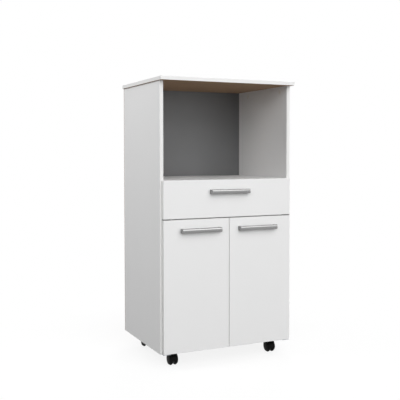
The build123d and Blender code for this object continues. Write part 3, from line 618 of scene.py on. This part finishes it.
def buffer_grower():
    """Domed stick-on buffers: a ball whose lower half is pressed flat to make the foot."""
    tree, given, turn = new_grower("Door buffers", ("Diameter", "Height"))
    ball = add(tree, "GeometryNodeMeshUVSphere",
               values={"Segments": BUFFER_SEGMENTS, "Rings": BUFFER_RINGS, "Radius": 1.0})
    spot = add(tree, "GeometryNodeInputPosition")
    parts = add(tree, "ShaderNodeSeparateXYZ", links={0: spot.outputs["Position"]})
    kept = add(tree, "ShaderNodeMath", {"operation": "MAXIMUM"}, {1: 0.0}, {0: parts.outputs["Z"]})
    flat = add(tree, "ShaderNodeCombineXYZ",
               links={"X": parts.outputs["X"], "Y": parts.outputs["Y"], "Z": kept.outputs[0]})
    dome = add(tree, "GeometryNodeSetPosition",
               links={"Geometry": ball.outputs["Mesh"], "Position": flat.outputs[0]})
    radius = add(tree, "ShaderNodeMath", {"operation": "MULTIPLY"}, {1: 0.5},
                 {0: given["Diameter"]})
    size = add(tree, "ShaderNodeCombineXYZ",
               links={"X": radius.outputs[0], "Y": radius.outputs[0], "Z": given["Height"]})
    placed = add(tree, "GeometryNodeInstanceOnPoints",
                 links={"Points": given["Geometry"], "Instance": dome.outputs["Geometry"],
                        "Rotation": turn, "Scale": size.outputs[0]})
    return end_grower(tree, placed.outputs["Instances"], given["Material"])


def close_shells(mesh):
    """Welds a grown mesh, drops its slivers and turns its faces outwards."""
    shell = bmesh.new()
    shell.from_mesh(mesh)
    bmesh.ops.remove_doubles(shell, verts=shell.verts, dist=GROWN_WELD)
    bmesh.ops.dissolve_degenerate(shell, edges=shell.edges, dist=GROWN_WELD)
    bmesh.ops.recalc_face_normals(shell, faces=shell.faces)
    shell.to_mesh(mesh)
    shell.free()


def grow(name, tree, seats, values):
    """A plain mesh piece, grown by a tree on seat points with their outward directions."""
    points = bpy.data.meshes.new(name + "_points")
    points.from_pydata([seat for seat, _ in seats], [], [])
    directions = points.attributes.new("outward", "FLOAT_VECTOR", "POINT")
    for item, (_, outward) in zip(directions.data, seats):
        item.vector = outward
    maker = bpy.data.objects.new(name + "_maker", points)
    bpy.context.scene.collection.objects.link(maker)
    modifier = maker.modifiers.new("Grow", "NODES")
    modifier.node_group = tree
    inputs = [item for item in tree.interface.items_tree if item.in_out == "INPUT"]
    sockets = {item.name: item.identifier for item in inputs}
    for label, value in values.items():
        modifier[sockets[label]] = value
    grown = maker.evaluated_get(bpy.context.evaluated_depsgraph_get())
    mesh = bpy.data.meshes.new_from_object(grown)
    bpy.data.objects.remove(maker)
    bpy.data.meshes.remove(points)
    if not mesh.polygons:
        raise RuntimeError(f"{name} came out empty")
    close_shells(mesh)
    mesh.name = name
    piece = bpy.data.objects.new(name, mesh)
    bpy.context.scene.collection.objects.link(piece)
    return piece


class CABINET_OT_screws(Operator):
    """Put cross-head screws in the place of the plain ones"""

    bl_idname = "cabinet.screws"
    bl_label = "Add Screws"

    def execute(self, context):
        tree = screw_grower()
        for node in sorted(name for name in frame["nodes"] if name.endswith("_screws")):
            seats = screw_seats(node)
            head, height, shank, length = seats[0][2]
            piece = grow("cross_head_" + node, tree, [seat[:2] for seat in seats], {
                "Head Diameter": head, "Head Height": height,
                "Shank Diameter": shank, "Shank Length": length,
                "Recess Share": context.scene.cabinet_sizes.recess_share,
                "Material": bpy.data.materials["Bright zinc steel"],
            })
            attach(piece, frame["nodes"][node]["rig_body"])
            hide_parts(node)
        return {"FINISHED"}


class CABINET_OT_buffers(Operator):
    """Stick clear buffers on the doors' backs, where they meet the rail and the bottom board"""

    bl_idname = "cabinet.buffers"
    bl_label = "Add Door Buffers"

    def execute(self, context):
        sizes = context.scene.cabinet_sizes
        tree = buffer_grower()
        cast_silicone("Clear silicone buffers", context.scene.cabinet_finish)
        stops = [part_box(node) for node in ("bottom_board", "cross_rail")]
        backwards = Vector((0.0, 1.0, 0.0))
        for side, sign in (("left", -1), ("right", 1)):
            low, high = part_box(f"{side}_door")
            x = (high.x if sign < 0 else low.x) + sign * sizes.buffer_inset
            heights = [(bottom.z + top.z) / 2 for bottom, top in stops]
            seats = [(Vector((x, high.y, z)), backwards) for z in heights]
            piece = grow(f"{side}_door_buffers", tree, seats, {
                "Diameter": sizes.buffer_diameter, "Height": sizes.buffer_height,
                "Material": bpy.data.materials["Clear silicone buffers"],
            })
            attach(piece, f"{side}_door")
        return {"FINISHED"}


def seen_rays(tree):
    """Light path: one for rays that see the background, by eye, in a mirror or through glass."""
    ray = add(tree, "ShaderNodeLightPath")
    direct = add(tree, "ShaderNodeMath", {"operation": "MAXIMUM"},
                 links={0: ray.outputs["Is Camera Ray"], 1: ray.outputs["Is Glossy Ray"]})
    either = add(tree, "ShaderNodeMath", {"operation": "MAXIMUM"},
                 links={0: direct.outputs[0], 1: ray.outputs["Is Transmission Ray"]})
    return either.outputs[0]


def studio_floor_finish(studio):
    """Seamless studio paper: white, with a soft shadow near the cabinet, and a low bounce.

    From below it is clear, so that the cabinet's underside can be seen.
    """
    material = bpy.data.materials.new("White studio paper")
    material.use_nodes = True
    tree = material.node_tree
    tree.nodes.clear()
    place = add(tree, "ShaderNodeTexCoord")
    away = add(tree, "ShaderNodeVectorMath", {"operation": "LENGTH"},
               links={0: place.outputs["Object"]})
    fade = add(tree, "ShaderNodeMapRange", {"interpolation_type": "SMOOTHSTEP"},
               {"From Min": studio.shadow_near, "From Max": studio.shadow_far},
               {"Value": away.outputs["Value"]})
    paper = add(tree, "ShaderNodeBsdfDiffuse", values={"Color": shade(studio.floor_paper)})
    glow = add(tree, "ShaderNodeEmission", values={"Strength": SHADED_GLOW})
    near = add(tree, "ShaderNodeAddShader", links={0: paper.outputs[0], 1: glow.outputs[0]})
    far = add(tree, "ShaderNodeEmission", values={"Strength": 1.0})
    white = add(tree, "ShaderNodeMixShader",
                links={0: fade.outputs["Result"], 1: near.outputs[0], 2: far.outputs[0]})
    bounce = add(tree, "ShaderNodeBsdfDiffuse", values={"Color": shade(studio.floor_bounce)})
    above = add(tree, "ShaderNodeMixShader",
                links={0: seen_rays(tree), 1: bounce.outputs[0], 2: white.outputs[0]})
    side = add(tree, "ShaderNodeNewGeometry")
    clear = add(tree, "ShaderNodeBsdfTransparent")
    either = add(tree, "ShaderNodeMixShader",
                 links={0: side.outputs["Backfacing"], 1: above.outputs[0], 2: clear.outputs[0]})
    add(tree, "ShaderNodeOutputMaterial", links={"Surface": either.outputs[0]})
    return material


def white_surround(studio):
    """A world that looks white and lights the cabinet evenly, at the ambient level."""
    world = bpy.data.worlds.new("White surround")
    world.use_nodes = True
    tree = world.node_tree
    tree.nodes.clear()
    level = add(tree, "ShaderNodeMix", {"data_type": "FLOAT"}, {"A": studio.ambient, "B": 1.0},
                {"Factor": seen_rays(tree)})
    surround = add(tree, "ShaderNodeBackground", values={"Color": (1.0, 1.0, 1.0, 1.0)},
                   links={"Strength": level.outputs["Result"]})
    add(tree, "ShaderNodeOutputWorld", links={"Surface": surround.outputs[0]})
    return world


class CABINET_OT_studio(Operator):
    """Set the floor, the white surround, the softboxes and the camera"""

    bl_idname = "cabinet.studio"
    bl_label = "Set Up Studio"

    def execute(self, context):
        scene, studio = context.scene, context.scene.cabinet_studio
        scene.view_settings.view_transform = "Standard"
        scene.world = white_surround(studio)

        signs = ((-1, -1), (1, -1), (1, 1), (-1, 1))
        corners = [(x * FLOOR_HALF, y * FLOOR_HALF, 0.0) for x, y in signs]
        paper = bpy.data.meshes.new("studio_floor")
        paper.from_pydata(corners, [], [(0, 1, 2, 3)])
        paper.materials.append(studio_floor_finish(studio))
        floor = bpy.data.objects.new("studio_floor", paper)
        scene.collection.objects.link(floor)

        # Place, aim, width and height in metres, power, and whether a softbox lights faces and
        # leaves highlights
        softboxes = {
            "Key softbox": (
                (0.6, -5.9, 5.4), (0.0, -0.2, 0.6), (8.0, 6.5), studio.key_power, True, True),
            "Front right softbox": (
                (1.6, -5.6, 1.1), (0.0, -0.2, 0.6), (3.0, 2.0), studio.front_power, True, False),
            "Front left softbox": (
                (-4.1, -5.1, 3.0), (0.0, -0.2, 0.8), (3.0, 3.0), studio.fill_power, True, False),
            "Left softbox": (
                (-1.9, 0.2, 2.0), (-0.3, 0.0, 0.85), (0.8, 0.8), studio.side_power, True, False),
            "Back softbox": (
                (2.6, 4.6, 3.2), (0.0, 0.2, 0.6), (3.0, 3.0), studio.back_power, True, True),
            "Sheen softbox": (
                (0.3, -2.8, 4.6), (0.0, -0.2, 0.6), (6.0, 2.5), studio.sheen_power, False, True),
        }
        for name, (place, aim, size, power, lights_faces, leaves_highlights) in softboxes.items():
            light = bpy.data.lights.new(name, "AREA")
            light.shape = "RECTANGLE"
            light.size, light.size_y = size
            light.energy = power
            lamp = bpy.data.objects.new(name, light)
            lamp.visible_diffuse, lamp.visible_glossy = lights_faces, leaves_highlights
            lamp.location = place
            lamp.rotation_euler = (Vector(aim) - Vector(place)).to_track_quat("-Z", "Y").to_euler()
            scene.collection.objects.link(lamp)

        lens = bpy.data.cameras.new("Photo camera")
        lens.sensor_width, lens.lens = SENSOR_MM, LENS_MM
        lens.shift_x, lens.shift_y = LENS_SHIFT
        camera = bpy.data.objects.new("Photo camera", lens)
        camera.location = CAMERA_PLACE
        camera.rotation_euler = (radians(CAMERA_TILT), 0.0, radians(CAMERA_TURN))
        scene.collection.objects.link(camera)
        scene.camera = camera
        return {"FINISHED"}


class CABINET_PT_panel(Panel):
    """Finishes, sizes and pieces of the kitchen cabinet"""

    bl_idname = "CABINET_PT_panel"
    bl_label = "Kitchen Cabinet"
    bl_space_type = "VIEW_3D"
    bl_region_type = "UI"
    bl_category = "Cabinet"

    def draw(self, context):
        scene = context.scene
        for group in (scene.cabinet_finish, scene.cabinet_sizes, scene.cabinet_studio):
            box = self.layout.box()
            for key in group.__annotations__:
                box.prop(group, key)
        for operator in OPERATORS:
            self.layout.operator(operator.bl_idname)


OPERATORS = (
    CABINET_OT_boards, CABINET_OT_panels, CABINET_OT_fittings, CABINET_OT_screws,
    CABINET_OT_buffers, CABINET_OT_studio,
)
CLASSES = (CabinetFinish, CabinetSizes, CabinetStudio, *OPERATORS, CABINET_PT_panel)


def register():
    """Registers the classes and puts the settings on the scene."""
    for cls in CLASSES:
        bpy.utils.register_class(cls)
    bpy.types.Scene.cabinet_finish = PointerProperty(type=CabinetFinish)
    bpy.types.Scene.cabinet_sizes = PointerProperty(type=CabinetSizes)
    bpy.types.Scene.cabinet_studio = PointerProperty(type=CabinetStudio)


def unregister():
    """Takes away the settings and the classes."""
    del bpy.types.Scene.cabinet_studio
    del bpy.types.Scene.cabinet_sizes
    del bpy.types.Scene.cabinet_finish
    for cls in reversed(CLASSES):
        bpy.utils.unregister_class(cls)


def main():
    """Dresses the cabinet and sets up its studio."""
    register()
    bpy.ops.cabinet.boards()
    bpy.ops.cabinet.panels()
    bpy.ops.cabinet.fittings()
    bpy.ops.cabinet.screws()
    bpy.ops.cabinet.buffers()
    bpy.ops.cabinet.studio()


if __name__ == "__main__":
    main()
